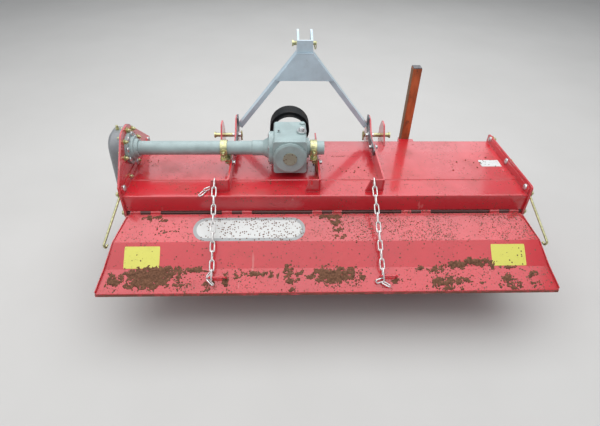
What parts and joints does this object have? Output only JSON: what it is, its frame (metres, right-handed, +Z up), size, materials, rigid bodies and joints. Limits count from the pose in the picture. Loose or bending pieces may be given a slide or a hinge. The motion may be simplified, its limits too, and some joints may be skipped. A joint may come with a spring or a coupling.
{
  "type": "rotary tiller",
  "caption": "Three-point hitch rotary tiller with a folded deck, side gear case, cross tube drive, bladed rotor, leaning head frame and a chain-held tail board.",
  "frame": {"origin": "on the floor, in the middle of the machine's width and length", "axes": "+X to the right and +Y forward (the way it is towed), both seen from behind, +Z up"},
  "size_m": [1.9612, 0.95, 1.0487],
  "materials": {
    "red_paint": "gloss red enamel over folded steel",
    "grey_cast": "grey paint over rough castings",
    "blue_grey_paint": "light blue-grey enamel",
    "yellow_zinc": "yellow passivated zinc",
    "galvanised": "bright galvanised",
    "black_guard": "matt black",
    "orange_paint": "weathered orange paint",
    "dark_steel": "dark forged steel with earth on it",
    "bright_steel": "machined steel"
  },
  "bodies": {
    "frame": {"deck": "red_paint", "front_beam": "red_paint", "side_plate_left": "red_paint", "side_plate_right": "red_paint", "skid_left": "red_paint", "skid_right": "red_paint", "gear_case_cover": "grey_cast", "gear_case_plug": "yellow_zinc", "tube_flange": "grey_cast", "cross_tube": "grey_cast", "tube_stub": "grey_cast", "gearbox_housing": "grey_cast", "gearbox_rear_cover": "grey_cast", "shaft_guard": "black_guard", "tube_clamps": "yellow_zinc", "bracket_left": "red_paint", "bracket_right": "red_paint", "bracket_middle": "red_paint", "hitch_outer_cheeks": "red_paint", "lower_hitch_pins": "yellow_zinc", "head_frame_leg_left": "blue_grey_paint", "head_frame_leg_right": "blue_grey_paint", "head_frame_gusset": "blue_grey_paint", "head_frame_feet": "dark_steel", "top_hitch_fork": "blue_grey_paint", "top_hitch_pin": "yellow_zinc", "hinge_rod": "dark_steel", "hinge_leaves": "red_paint", "rotor_bearing_hubs": "grey_cast", "rotor_bearing_cap": "grey_cast", "stand_sleeve": "red_paint", "chain_left": "galvanised", "chain_right": "galvanised", "side_rods": "yellow_zinc"},
    "rotor": {"rotor_shaft": "dark_steel", "rotor_tines": "dark_steel"},
    "input": {"input_shaft": "bright_steel"},
    "board": {"tail_board": "red_paint"},
    "stand": {"stand_leg": "orange_paint"}
  },
  "joints": [
    {"name": "rotor_spin", "type": "hinge", "parent": "frame", "child": "rotor", "pos_m": [0, 0.082, 0.251], "axis": [-1, 0, 0], "continuous": true},
    {"name": "input_spin", "type": "hinge", "parent": "frame", "child": "input", "pos_m": [-0.167, 0.291, 0.631], "axis": [0, 1, 0], "continuous": true},
    {"name": "board_hinge", "type": "hinge", "parent": "frame", "child": "board", "pos_m": [0, -0.141, 0.4245], "axis": [-1, 0, 0], "range_deg": [0, 60], "deforming": ["chain_left", "chain_right"]},
    {"name": "stand_slide", "type": "slide", "parent": "frame", "child": "stand", "axis": [0, 0, -1], "range_m": [0, 0.325]}
  ],
  "couplings": [
    {"joint": "input_spin", "follows": "rotor_spin", "ratio": 2.5}
  ]
}
